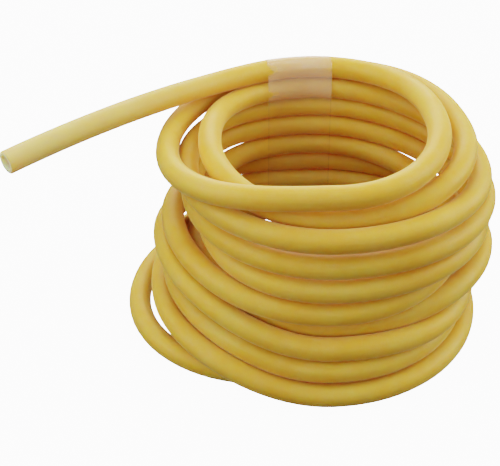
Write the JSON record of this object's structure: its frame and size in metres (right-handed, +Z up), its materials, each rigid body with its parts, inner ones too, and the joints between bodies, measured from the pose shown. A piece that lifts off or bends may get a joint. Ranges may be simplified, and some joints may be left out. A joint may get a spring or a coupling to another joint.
{
  "type": "rubber tubing coil",
  "caption": "Soft amber rubber laboratory tube wound into a loose upright coil, one straight free end, turns held at the back by a band of clear tape.",
  "frame": {"origin": "on the coil's axis, at the level of the surface the coil stands on", "axes": "+Z up along the coil's axis, +Y towards the taped back of the coil, +X to the right; the free end leaves to -X"},
  "size_m": [0.1735, 0.1297, 0.0832],
  "materials": {
    "amber_rubber": "satin, slightly translucent, light bloom",
    "clear_tape": "clear, glossy, faintly lilac"
  },
  "bodies": {
    "root": {"tubing": "amber_rubber", "tape": "clear_tape"}
  },
  "joints": []
}
